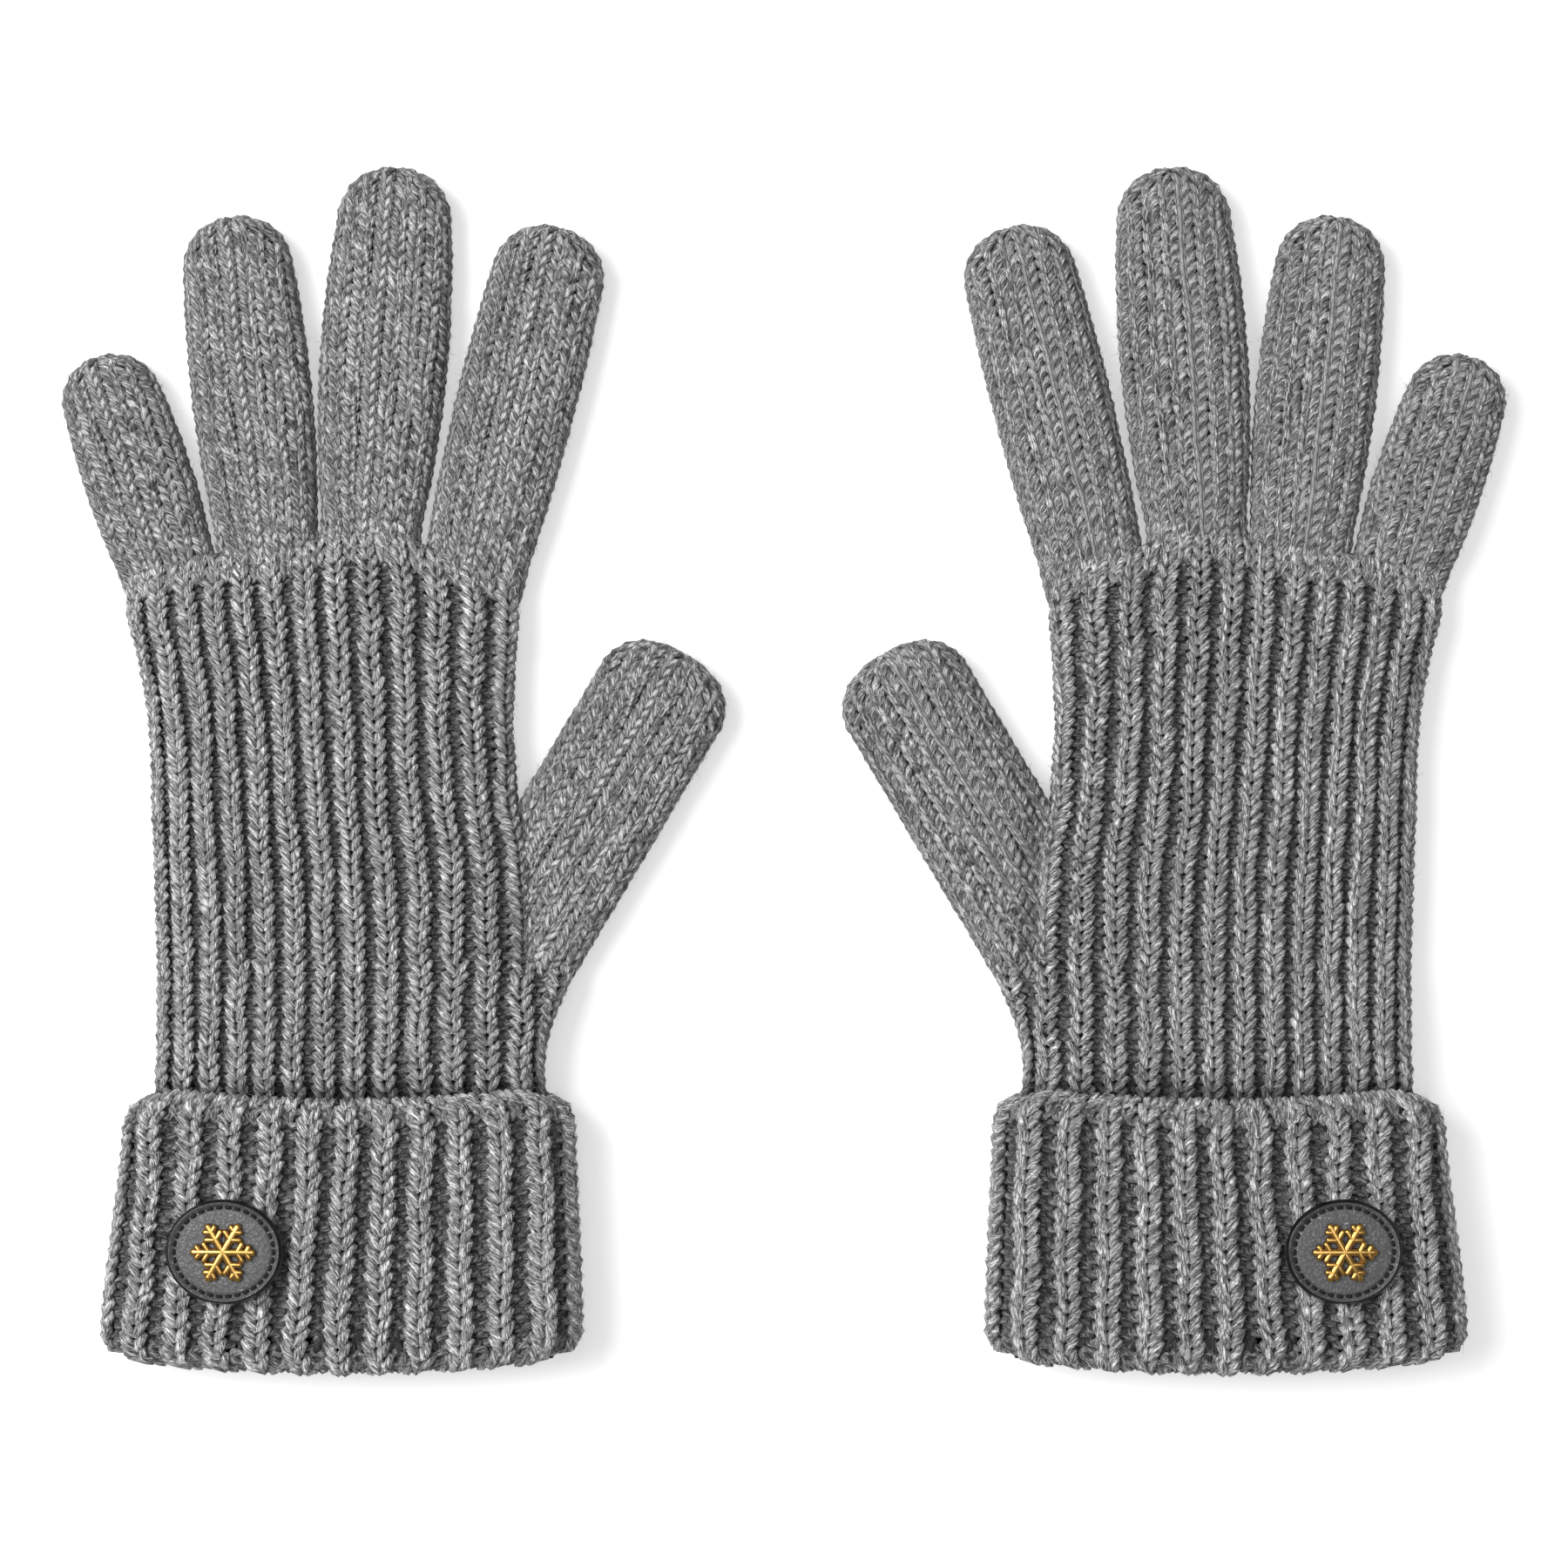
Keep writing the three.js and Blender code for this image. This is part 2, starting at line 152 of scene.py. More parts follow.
class Skin:
    """A closed tube: rows of evenly spaced points round it, how far along it each row is, and the painted
    shade in its creases.

    crease_shade(v) is the painted shade where the cloth is tucked away: how much deeper than it lies the yarn
    at v is darkened as.
    """

    def __init__(self, points, along=None, crease_shade=lambda v: 0 * v):
        self.points = points
        self.crease_shade = crease_shade
        middle = points.mean(1)
        if along is None:
            top = points[:, 0]
            along = np.concatenate([[0], np.cumsum(np.linalg.norm(np.diff(top, axis=0), axis=1))])
        self.along = along
        du = np.roll(points, -1, 1) - np.roll(points, 1, 1)
        dv = np.gradient(points, axis=0)
        normal = np.cross(du, dv)
        normal /= np.linalg.norm(normal, axis=2, keepdims=True) + 1e-12
        if ((points - middle[:, None]) * normal).sum() < 0:
            normal = -normal
        self.normal = normal
        self.girth = np.linalg.norm(np.roll(points, -1, 1) - points, axis=2).sum(1)

    def at(self, u, v):
        """The point and the outward normal at share u of the way round and v along the skin."""
        row = np.interp(v, self.along, np.arange(len(self.along)))
        i = np.minimum(row.astype(int), len(self.along) - 2)
        fi = (row - i)[..., None]
        column = (u % 1) * AROUND
        j = column.astype(int) % AROUND
        fj = (column - np.floor(column))[..., None]
        k = (j + 1) % AROUND

        def read(grid):
            low = grid[i, j] * (1 - fj) + grid[i, k] * fj
            high = grid[i + 1, j] * (1 - fj) + grid[i + 1, k] * fj
            return low * (1 - fi) + high * fi

        normal = read(self.normal)
        return read(self.points), normal / np.linalg.norm(normal, axis=-1, keepdims=True)

    def girth_at(self, v):
        """How long the way round is at v along the skin."""
        return np.interp(v, self.along, self.girth)


# ---- yarn ----
class Yarn:
    """What a course is knitted with: the yarn's half width along the skin and off it, and the loop's shape.

    crown is how much lower a knit stitch lies at its sides than in its middle, wander how far the
    columns stray, as a share of a stitch, and shade how much painted shade darkens the course, in mm of
    depth.
    steps is how many rings a stitch has, and sides how many points a ring has.
    """

    def __init__(self, wide, high, sway, rise, depth, crown=0.0, wander=0.05, shade=0.0, steps=10, sides=5):
        self.wide = wide
        self.high = high
        self.sway = sway
        self.rise = rise
        self.depth = depth
        self.crown = crown
        self.wander = wander
        self.shade = shade
        self.steps = steps
        self.sides = sides


# how much stitches differ from each other, as shares of their own measure
SWAY_SPREAD, RISE_SPREAD, PLUMP_SPREAD = 0.09, 0.07, 0.07
# how far a stitch's top is out of line: across in stitch widths, along and off the skin in millimetres
ACROSS_SPREAD, ALONG_SPREAD, OFF_SPREAD = 0.03, 0.08, 0.07
EDGE_REACH = 3.5  # how far from the outline's edges the loops start to lie flatter
FIBRE_RADIUS = 0.036


def rings(centre, ahead, up, wide, high, sides):
    """At each centre an oval ring square to ahead: wide across the yarn, and high off the skin."""
    ahead = ahead / np.linalg.norm(ahead, axis=-1, keepdims=True)
    across = np.cross(ahead, up)
    across /= np.linalg.norm(across, axis=-1, keepdims=True)
    out = np.cross(across, ahead)
    phi = TURN * np.arange(sides) / sides
    ring = wide[..., None, None] * np.cos(phi)[:, None] * across[..., None, :]
    ring = ring + high[..., None, None] * np.sin(phi)[:, None] * out[..., None, :]
    return centre[..., None, :] + ring


class Cloth:
    """Gathers strands and linings, and turns them into one mesh."""

    def __init__(self, seed):
        self.rng = np.random.default_rng(seed)
        self.points, self.faces, self.yarn_uv, self.bake_uv, self.height, self.count = [], [], [], [], [], 0

    def add(self, rows, along, height, turns, closed):
        """Strands of tube, whose rows are (strand, ring, side, xyz).

        along is the length run at each ring and at the end, and turns how often the fibres' pattern
        goes round. closed joins the last ring of each strand to its first.
        """
        strands, n, m = rows.shape[:3]
        s = np.arange(strands)[:, None, None]
        i = np.arange(n if closed else n - 1)[None, :, None]
        k = np.arange(m)[None, None]

        def corner(ring, side):
            return self.count + (s * n + ring % n) * m + side % m

        quad = np.stack(
            np.broadcast_arrays(corner(i, k), corner(i + 1, k), corner(i + 1, k + 1), corner(i, k + 1)), -1
        )
        # the fifth array only widens the others to every strand, ring and side
        here, further = along[s, i], along[s, i + 1]
        ring_at = np.stack(np.broadcast_arrays(here, further, further, here, k + 0.0)[:4], -1)
        side_at = np.stack(np.broadcast_arrays(k, k, k + 1, k + 1, s + i)[:4], -1) / m
        self.points.append(rows.reshape(-1, 3))
        self.height.append(np.broadcast_to(height, (strands, n, m)).ravel())
        self.faces.append(quad.reshape(-1, 4))
        self.yarn_uv.append(np.stack([ring_at, side_at * turns], -1).reshape(-1, 4, 2))
        share = (s[..., None] + ring_at / along[:, -1][:, None, None, None]) / strands
        self.bake_uv.append(np.stack([share, side_at], -1).reshape(-1, 4, 2))
        self.count += strands * n * m

    def strand(self, skin, u, v, z, yarn, plump):
        """One yarn round the skin, through the points at share u, v along and z off it."""
        point, normal = skin.at(u, v)
        centre = point + normal * z[:, None]
        ahead = np.roll(centre, -1, 0) - np.roll(centre, 1, 0)
        rows = rings(centre, ahead, normal, yarn.wide * plump, yarn.high * plump, yarn.sides)
        length = np.linalg.norm(np.roll(centre, -1, 0) - centre, axis=1)
        along = np.concatenate([[0], np.cumsum(length)])
        # painted shade: the yarn's sides and underside, each whole course by its shade, and tucked-away
        # places by their crease shade are darkened as if they lay deeper
        height = z[:, None] + yarn.high * (1.6 * np.sin(TURN * np.arange(yarn.sides) / yarn.sides) - 0.6)
        height = height - yarn.shade - skin.crease_shade(v)[:, None]
        self.add(rows[None], along[None], height[None], 1, True)

    def course(self, skin, v, yarn, bounds, kind, lift):
        """One row of knitting at v along the skin.

        bounds has where each stitch begins, and where the last one ends, as shares of the way round:
        one line for the bottom of the row's loops and one for their top, and a loop runs from one to
        the other. kind and lift have one number for each stitch. The loops lie flatter at the
        outline's two edges. The stitches wander a little from their columns, and each is a little
        fuller, higher or longer than the next.
        """
        n = len(kind)
        t = TURN * (np.arange(yarn.steps) + 0.5) / yarn.steps
        climb = (1 - np.cos(t)) / 2
        edges = bounds[0][:, None] * (1 - climb) + bounds[1][:, None] * climb
        start, width = edges[:-1], np.diff(edges, axis=0)
        # along the face from its edge, a little different underneath, so that the faces don't stray alike
        share = bounds[0][:-1] - bounds[0][0]
        from_edge = np.where(share < 0.5, share, 1.3 - share) * skin.girth_at(v)
        # from the nearer of the outline's edges, which are a quarter and three quarters of the way round
        turn = (bounds[0][:-1] - 0.25 + np.diff(bounds[0]) / 2) % 0.5
        off_edge = np.minimum(turn, 0.5 - turn) * skin.girth_at(v)
        kind = kind * (1 - 0.5 * np.exp(-((off_edge / EDGE_REACH) ** 2)))
        level = v - yarn.rise * np.cos(t)
        long_wave = np.sin(level / 6.1 + 0.7 * from_edge[:, None])
        short_wave = np.sin(level / 2.7 + 0.4 * from_edge[:, None])
        wander = yarn.wander * (long_wave + 0.6 * short_wave)
        top = np.sin(t / 2) ** 2
        wander = wander + self.rng.normal(0, ACROSS_SPREAD, n)[:, None] * top
        across = t / TURN + yarn.sway * (1 + self.rng.normal(0, SWAY_SPREAD, n))[:, None] * np.sin(2 * t)
        u = start + width * (across + wander)
        rise = yarn.rise * (1 + self.rng.normal(0, RISE_SPREAD, n))[:, None]
        y = v - rise * np.cos(t) + self.rng.normal(0, ALONG_SPREAD, n)[:, None] * top
        z = lift[:, None] - kind[:, None] * yarn.depth * np.cos(2 * t)
        z = z - yarn.crown * np.maximum(kind, 0)[:, None] * (2 * across - 1) ** 2
        z = z + self.rng.normal(0, OFF_SPREAD, n)[:, None] * top
        plump = (1 + self.rng.normal(0, PLUMP_SPREAD, n))[:, None]
        plump = plump * (1 - 0.14 * kind[:, None] * np.cos(2 * t))
        self.strand(skin, u.ravel(), y.ravel(), z.ravel(), yarn, plump.ravel())

    def lining(self, skin, v, outside, inside):
        """A smooth closed wall just under the yarn, that stops light between the stitches."""
        u = np.arange(96) / 96
        uu, vv = np.meshgrid(u, v)
        point, normal = skin.at(uu.ravel(), vv.ravel())
        outer = (point + normal * outside).reshape(len(v), len(u), 3)
        inner = (point + normal * inside).reshape(len(v), len(u), 3)
        rows = np.concatenate([outer, inner[::-1]])[:, ::-1]
        along = np.linspace(0, 4 * (v[-1] - v[0]), len(rows) + 1)
        # painted shade: the lining is darkened as if it lay 0.8 mm under the skin
        self.add(rows[None], along[None], -0.8, 20, True)

    def fuzz(self, skin, low, high, count, off):
        """Loose fibre ends, that leave the yarn at a slant and bend over. q runs from 0 to 1 along each:
            centre = root + reach * (q * ahead + q^2 * bow * beside) + rise * q * normal
        and its radius is FIBRE_RADIUS * sqrt(1 - q^2).
        """
        u, v = self.rng.uniform(0, 1, count), self.rng.uniform(low, high, count)
        point, normal = skin.at(u, v)
        across = np.cross(normal, (0.0, 1.0, 0.2))
        across /= np.linalg.norm(across, axis=1, keepdims=True) + 1e-9
        along = np.cross(normal, across)
        heading = self.rng.uniform(0, TURN, count)[:, None]
        ahead = across * np.cos(heading) + along * np.sin(heading)
        beside = across * -np.sin(heading) + along * np.cos(heading)
        reach = self.rng.uniform(1.2, 3.6, count)[:, None, None]
        bow = self.rng.normal(0, 0.45, count)[:, None, None]
        rise = self.rng.uniform(0.1, 1.3, count)[:, None, None]
        q = np.linspace(0, 1, 4)[None, :, None]
        centre = point[:, None] + normal[:, None] * (off + rise * q)
        centre = centre + reach * (q * ahead[:, None] + q * q * bow * beside[:, None])
        thin = FIBRE_RADIUS * np.sqrt(np.maximum(1 - q[..., 0] ** 2, 0)) * np.ones((count, 1))
        up = np.repeat(normal[:, None], 4, 1)
        rows = rings(centre, np.gradient(centre, axis=1), up, thin, thin, 3)
        length = np.linspace(0, 3, 5)[None] + self.rng.uniform(0, 90, count)[:, None]
        # painted shade: the fibre ends are all shaded as if they lay 0.6 mm off the skin
        self.add(rows, length, 0.6, 1, False)

    def mesh(self, name, side):
        """All of it as one mesh in metres, for the right glove (side 1) or mirrored for the left (-1)."""
        points = np.concatenate(self.points)
        faces = np.concatenate(self.faces)
        uv = np.concatenate(self.yarn_uv)
        count = len(self.bake_uv)
        strips = [strip * (1, 0.9 / count) + (0, (i + 0.05) / count) for i, strip in enumerate(self.bake_uv)]
        bake = np.concatenate(strips)
        points = (points - (0, GLOVE_LENGTH / 2, 0)) * (side * MM, MM, MM)
        if side < 0:
            faces, uv, bake = faces[:, ::-1], uv[:, ::-1], bake[:, ::-1]
        mesh = bpy.data.meshes.new(name)
        mesh.from_pydata(points.tolist(), [], faces.tolist())
        for layer, values in (("yarn", uv + (0 if side > 0 else LEFT_YARN_START, 0)), ("OFBake", bake)):
            mesh.uv_layers.new(name=layer).data.foreach_set("uv", values.astype(np.float32).ravel())
        # each point's height off the skin, with the painted shade's offsets, which the wool darkens by
        height = mesh.attributes.new("height", "FLOAT", "POINT")
        height.data.foreach_set("value", np.concatenate(self.height).astype(np.float32))
        mesh.polygons.foreach_set("use_smooth", np.ones(len(faces), bool))
        mesh.update()
        return mesh


def place(mesh, name, material):
    """The mesh as an object in the scene, with its first material."""
    piece = bpy.data.objects.new(name, mesh)
    bpy.context.scene.collection.objects.link(piece)
    mesh.materials.append(material)
    return piece


# ---- stitches ----
# PLAIN's shade gives all plain knitting painted shade
PLAIN = Yarn(wide=0.86, high=0.74, sway=0.29, rise=2.25, depth=0.62, crown=0.15, shade=0.42)
RIB = Yarn(wide=0.84, high=0.74, sway=0.29, rise=2.05, depth=0.70, crown=0.45)
HIDDEN_RIB = Yarn(wide=1.1, high=0.80, sway=0.25, rise=2.5, depth=0.70, steps=8, sides=4)
CUFF_RIB = Yarn(wide=1.04, high=0.84, sway=0.28, rise=2.45, depth=0.75, crown=0.6, wander=0.09)
PLAIN_RELIEF = 1.4  # how far plain knitting stands off its skin
RIB_RELIEF = 1.6
PLAIN_LINING = (-0.9, -1.4)  # the lining's outside and inside, off the skin
RIB_LINING = (-2.6, -3.0)
CUFF_LINING = (-1.6, -1.8)
PLAIN_COLUMN = 3.5
PLAIN_ROW = 2.4
RIB_ROW = 2.35
CUFF_ROW = 2.8
HIDDEN_ROW = 2.9
RIBS = 26
HAND_SHARE = 0.72  # how much of a rib is its knit stitch
CUFF_SHARE = 0.62


def plain_columns(girth, column):
    """Widths of the columns as shares of the girth.

    Each is a column wide, but the one beside each edge takes what is left.
    """
    quarter = girth / 4
    count = max(int(round(quarter / column)), 1)
    widths = np.full(count, column)
    widths[-1] = quarter - (count - 1) * column
    half = np.concatenate([widths, widths[::-1]])
    return np.concatenate([half, half]) / girth


def plain(cloth, skin, rows, tip):
    """Plain knitting: every stitch is a knit stitch.

    The columns follow the skin as it widens and narrows, and past tip they end at its edges.
    """
    middle = skin.girth_at(tip * 0.6)
    total = 2 * int(round(middle / PLAIN_COLUMN / 2))
    for v in rows:
        girth = skin.girth_at(v)
        width = np.full(total, 1 / total) if v < tip else plain_columns(girth, skin.girth_at(tip) / total)
        bounds = np.concatenate([[0], np.cumsum(width)])
        cloth.course(skin, v, PLAIN, (bounds, bounds), np.ones(len(width)), np.zeros(len(width)))


def rib(cloth, skin, rows, yarn, widths, knit_share, fade=lambda v: 0.0):
    """Rib: knit and purl stitches take turns, and the purl stitches are narrower and lie lower.

    widths(v) gives the ribs' shares of the girth, from the outer edge, round underneath and back over
    the top. Where fade rises from 0 to 1, the rib turns into plain knitting.
    """
    for v in rows:
        plainness = fade(v)
        share = knit_share + (0.5 - knit_share) * plainness

        def bounds(at):
            pitch = widths(at)
            knit = share * pitch
            purl = (1 - share) * (pitch + np.roll(pitch, -1)) / 2
            run = np.cumsum(np.stack([knit, purl], -1).ravel())
            return 0.25 + (1 - share) * pitch[0] / 2 + np.concatenate([[0], run])

        count = len(widths(v))
        kind = np.tile([1.0, 2 * plainness - 1], count)
        lift = np.tile([-0.1 * plainness, -2.9 * yarn.depth * (1 - plainness)], count)
        cloth.course(skin, v, yarn, (bounds(v - yarn.rise), bounds(v + yarn.rise)), kind, lift)


def hand_ribs(v):
    """At any v, ribs that fill the girth: narrower towards the little finger, wider towards the thumb."""
    outward = 0.14 * np.cos(TURN * (np.arange(RIBS) + 0.5) / RIBS)
    return (1 - outward) / RIBS


def heel_ribs(skin, palm_girth):
    """As the hand's ribs at their full width in millimetres, with one more on each face beside the thumb."""
    main = hand_ribs(0) * palm_girth
    half = RIBS // 2

    def widths(v):
        girth = skin.girth_at(v)
        spare = (girth - palm_girth) / 2
        return np.concatenate([main[:half], [spare, spare], main[half:]]) / girth

    return widths


def even_ribs(v):
    """At any v, ribs that fill the girth and are all as wide as each other."""
    return np.full(RIBS, 1 / RIBS)


# ---- the shapes of the pieces ----
HAND_HALF = 7.0
FINGER_HALF = 6.0
THUMB_HALF = 6.4
CUFF_HALF = 10.6
WRIST_FOLD_Y = 62.5
HEEL_TOP = 85.7  # where the heel's last row meets the palm's first
# base, centre of the round tip, and half widths at the base, halfway and at the tip
FINGERS = {
    "index": ((63.2, 171.7), (49.4, 226.7), (11.5, 12.8, 12.3)),
    "middle": ((85.6, 177.8), (81.0, 238.7), (11.0, 13.7, 12.4)),
    "ring": ((107.6, 175.9), (113.3, 229.0), (11.2, 12.9, 11.9)),
    "little": ((128.7, 169.6), (139.3, 201.3), (10.7, 11.7, 10.9)),
}
THUMB_TIP = (25.8, 140.2)
THUMB_LEAN = math.radians(30.8)
SEAM_X = 51.6  # the thumb dips under the hand past this line, and below the next one
SHOULDER_Y = 83.0
STRAIGHT_ROWS = 50  # rows of a finger's skin before its round tip
THUMB_ROWS = 60


def finger_skin(base, tip, half):
    """A flattened tube along the line from base to tip, with a round end.

    Its half width at share q of the way is low + (high - low - bend) q + bend q^2, which is belly
    halfway, and the end is reach sin a further on and reach cos(a)^0.85 wide. It is flatter at the
    base, where it goes in under the hand.
    """
    base, tip = np.array(base), np.array(tip)
    ahead = tip - base
    length = np.linalg.norm(ahead)
    ahead = ahead / length
    across = np.array([ahead[1], -ahead[0]])
    low, belly, high = half
    share = np.linspace(-0.2, 1, STRAIGHT_ROWS)
    bend = 2 * (low + high) - 4 * belly
    held = np.maximum(share, 0)
    wide = bend * held**2 + (high - low - bend) * held + low - PLAIN_RELIEF
    turn = np.radians(np.linspace(3, 87, 24))
    reach = high - PLAIN_RELIEF
    s = np.concatenate([share * length, length + reach * np.sin(turn)])
    wide = np.concatenate([wide, reach * np.cos(turn) ** 0.85])
    high = FINGER_HALF - PLAIN_RELIEF
    root = high * (0.74 + 0.26 * smooth_step(-3, 6, share * length))
    up = np.concatenate([root, high * np.cos(turn) ** 0.6])
    x, z = sections(wide, up, 2.8)
    px = base[0] + ahead[0] * s[:, None] + across[0] * x
    py = base[1] + ahead[1] * s[:, None] + across[1] * x
    return Skin(np.stack([px, py, FINGER_HALF + z], -1))


def thumb_skin():
    """As a finger, but as wide all along, and flatter where it passes under the hand."""
    ahead = np.array([-math.sin(THUMB_LEAN), math.cos(THUMB_LEAN)])
    across = np.array([ahead[1], -ahead[0]])
    turn = np.radians(np.linspace(3, 87, 24))
    reach, half = 11.2, 14.7 - PLAIN_RELIEF
    high = THUMB_HALF - PLAIN_RELIEF
    s = np.concatenate([np.linspace(-70, 0, THUMB_ROWS), (reach - PLAIN_RELIEF) * np.sin(turn)])
    wide = np.concatenate([np.full(THUMB_ROWS, half), half * np.cos(turn) ** 0.75])
    up = np.concatenate([np.full(THUMB_ROWS, high), high * np.cos(turn) ** 0.6])
    x, z = sections(wide, up, 2.8)
    px = THUMB_TIP[0] + ahead[0] * s[:, None] + across[0] * x
    py = THUMB_TIP[1] + ahead[1] * s[:, None] + across[1] * x
    beyond = np.maximum(px - SEAM_X, SHOULDER_Y - py)
    z = z * (1 - 0.7 * smooth_step(-4.5, 2.0, beyond))
    return Skin(np.stack([px, py, THUMB_HALF + z], -1))


KNUCKLES = 168.0  # where the hand's rib ends, before its rows bend to the knuckle line
knuckle_line = eased(
    [
        (45, 160), (57, 163), (64, 165.4), (72, 167.4), (80, 170.6),
        (92, 171), (103, 168), (120, 166.4), (133, 163.8), (143, 160.5),
    ]
)
hand_outer = eased(
    [
        (0, 138.2), (20, 136.6), (50, 131.6), (66, 130.4), (80, 130.6),
        (110, 131.6), (140, 132.9), (155, 135.4), (162, 137.0), (168, 137.6),
    ]
)
palm_inner = eased(
    [
        (80, 51.8), (90, 51.8), (108, 52.4), (118, 54.2),
        (126, 54.8), (150, 55.0), (162, 54.0), (168, 54.2),
    ]
)
heel_inner = eased(
    [
        (0, 44.6), (20, 44.8), (50, 47.4), (62, 48.7), (66, 48.6),
        (72, 47.4), (78, 45.0), (85, 41.9), (88, 40.5),
    ]
)


def hand_skin(inner_line, low, high):
    """The tube from inside the cuff to the knuckles.

    Its two edges are smooth lines along y, its middle rises towards the thicker cuff, and its rows bend
    towards the knuckle line. It is flatter where it is tucked under the cuff's edge, under the fingers
    and, beside the seam, under the thumb.
    """
    y = np.linspace(low, high, 110)
    inner, outer = inner_line(y) + RIB_RELIEF, hand_outer(y) - RIB_RELIEF
    half_high = HAND_HALF - RIB_RELIEF - 1.2 * smooth_step(156, KNUCKLES, y)
    half_high = half_high - 1.4 * (1 - smooth_step(57, 62, y))
    half_high = half_high - 1.6 * smooth_step(KNUCKLES - 0.5, KNUCKLES + 2.5, y)
    x, z = sections((outer - inner) / 2, half_high, 3.0)
    x = x + (outer + inner)[:, None] / 2
    middle = CUFF_HALF + (HAND_HALF - CUFF_HALF) * smooth_step(WRIST_FOLD_Y + 2, 90, y)
    rows = np.repeat(y[:, None], AROUND, 1)
    rows = rows + (knuckle_line(x) - KNUCKLES) * smooth_step(112, KNUCKLES, rows)
    z = z * (1 - 0.8 * smooth_step(80, 86, y)[:, None] * (1 - smooth_step(51, 56, x)))
    points = np.stack([x, rows, middle[:, None] + z], -1)
    # painted shade: the heel is darkened in the crease just above the cuff's edge
    return Skin(points, along=y, crease_shade=lambda v: 1.9 * (1 - smooth_step(58, 63, v)))


cuff_outer = eased(
    [
        (-1, 136.2), (1, 138.0), (4, 140.5), (9, 141.2), (15, 140.7),
        (30, 138.8), (45, 137.0), (51, 136.6), (55, 135.4), (57, 134.2),
    ]
)
cuff_inner = eased(
    [
        (-1, 45.6), (1, 44.0), (4, 41.8), (9, 41.2), (15, 41.3),
        (30, 41.9), (45, 42.6), (51, 42.8), (55, 43.8), (57, 44.8),
    ]
)
CUFF_EDGE = 56.8
CUFF_BOW = 2.8  # how much higher both its sides lie than its middle


def cuff_skin():
    """The turned-up layer, from just inside the fold, round it, up the outside and over the free edge.

    Its path is a straight run down, half a circle for the fold, a straight run up, and part of a
    circle for the edge; each row is that far in from the cuff's outline.
    """
    fold, bottom, middle = 1.7, 3.8, 3.3  # the fold's radius, its centre's y, and how far in that lies
    down = np.linspace(10, bottom, 8)
    turn = np.linspace(0, math.pi, 18)[1:]
    roll = 1.9
    up = np.linspace(bottom, CUFF_EDGE - roll, 60)[1:]
    edge = np.linspace(0, math.radians(125), 14)[1:]
    y = np.concatenate([down, bottom - fold * np.sin(turn), up, CUFF_EDGE - roll + roll * np.sin(edge)])
    inset = np.concatenate(
        [
            np.full(8, middle + fold),
            middle + fold * np.cos(turn),
            np.full(59, middle - fold),
            middle - fold + roll * (1 - np.cos(edge)),
        ]
    )
    inner, outer = cuff_inner(y) + inset, cuff_outer(y) - inset
    half = (outer - inner) / 2
    x, z = sections(half, CUFF_HALF - inset, 4.0)
    share = np.abs(x) / half[:, None]
    # the outline's corners are rounded: up at the fold, and down at the free edge
    corner = 2.2 * (1 - smooth_step(-2, 7, y)) - 2.4 * smooth_step(46, 56, y)
    rows = y[:, None] + CUFF_BOW * share**2 + corner[:, None] * smooth_step(0.84, 1, share)
    x = x + (outer + inner)[:, None] / 2
    along = np.concatenate([[0], np.cumsum(np.hypot(np.diff(y), np.diff(inset)))])
    return Skin(np.stack([x, rows, CUFF_HALF + z], -1), along=along)


def spaced(low, high, step):
    """Rows about a step apart that start at low and end at high."""
    return np.linspace(low, high, int(round((high - low) / step)) + 1)


# ---- materials ----
def new_group(name, inputs, outputs):
    """A node group, with its input and output nodes."""
    group = bpy.data.node_groups.new(name, "ShaderNodeTree")
    for label, kind, value in inputs:
        socket = group.interface.new_socket(label, in_out="INPUT", socket_type=kind)
        if value is not None:
            socket.default_value = value
    for label, kind in outputs:
        group.interface.new_socket(label, in_out="OUTPUT", socket_type=kind)
    return group, group.nodes.new("NodeGroupInput"), group.nodes.new("NodeGroupOutput")


def math_node(tree, operation, *values, clamp=False):
    """The result of one operation on numbers and sockets."""
    node = tree.nodes.new("ShaderNodeMath")
    node.operation = operation
    node.use_clamp = clamp
    for socket, value in zip(node.inputs, values):
        if isinstance(value, (int, float)):
            socket.default_value = value
        else:
            tree.links.new(value, socket)
    return node.outputs[0]


def range_node(tree, value, from_low, from_high, to_low=0.0, to_high=1.0):
    """The value, moved from one range to another and kept within it."""
    node = tree.nodes.new("ShaderNodeMapRange")
    limits = {"From Min": from_low, "From Max": from_high, "To Min": to_low, "To Max": to_high}
    for label, number in limits.items():
        node.inputs[label].default_value = number
    tree.links.new(value, node.inputs["Value"])
    return node.outputs[0]


def mix_node(tree, factor, a, b, blend="MIX"):
    """A colour between a and b."""
    node = tree.nodes.new("ShaderNodeMix")
    node.data_type = "RGBA"
    node.blend_type = blend
    for label, value in (("Factor", factor), ("A", a), ("B", b)):
        socket = [s for s in node.inputs if s.name == label and s.enabled][0]
        if isinstance(value, (int, float, tuple)):
            socket.default_value = value
        else:
            tree.links.new(value, socket)
    return [s for s in node.outputs if s.enabled][0]


def noise_node(tree, place, scale, detail=2.0, roughness=0.5):
    """Noise from 0 to 1 at a place."""
    node = tree.nodes.new("ShaderNodeTexNoise")
    node.inputs["Scale"].default_value = scale
    node.inputs["Detail"].default_value = detail
    node.inputs["Roughness"].default_value = roughness
    tree.links.new(place, node.inputs["Vector"])
    return node.outputs["Fac"]


